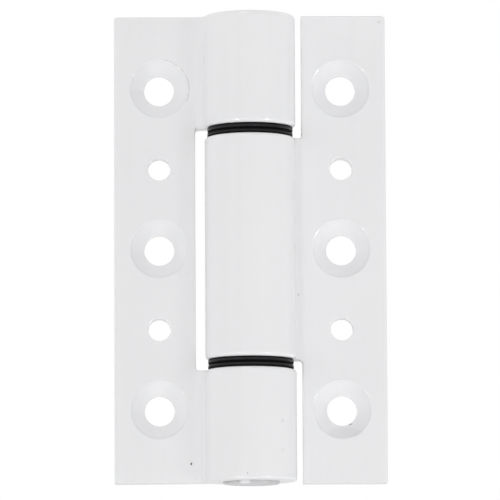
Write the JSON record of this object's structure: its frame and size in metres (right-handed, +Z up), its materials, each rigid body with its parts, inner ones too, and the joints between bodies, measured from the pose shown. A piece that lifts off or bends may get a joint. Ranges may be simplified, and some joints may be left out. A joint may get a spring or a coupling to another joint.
{
  "type": "folding door hinge",
  "caption": "White powder-coated folding door hinge: flat leaves with countersunk screw holes turn about a stout knuckled barrel with black flanged bushes between the knuckles.",
  "frame": {"origin": "on the pin axis, half-way up the barrel", "axes": "+Z up the pin, +X towards the right leaf seen from the countersunk side, +Y towards the mounting side, so the countersunk front faces -Y"},
  "size_m": [0.058, 0.0194, 0.1006],
  "materials": {
    "powder_coat": "white powder coat, semi-gloss, over extruded aluminium",
    "black_polymer": "satin black moulded acetal",
    "pin_steel": "ground stainless steel",
    "grey_plug": "pale grey moulded nylon"
  },
  "bodies": {
    "left_side": {"left_leaf": "powder_coat", "hinge_pin": "pin_steel", "upper_knuckle_bush": "black_polymer", "lower_knuckle_bush": "black_polymer", "top_end_plug": "grey_plug", "bottom_end_plug": "grey_plug"},
    "right_side": {"right_leaf": "powder_coat", "centre_upper_bush": "black_polymer", "centre_lower_bush": "black_polymer"}
  },
  "joints": [
    {"name": "fold", "type": "hinge", "parent": "left_side", "child": "right_side", "pos_m": [0, 0, 0], "axis": [0, 0, -1], "range_deg": [-125, 180]}
  ]
}
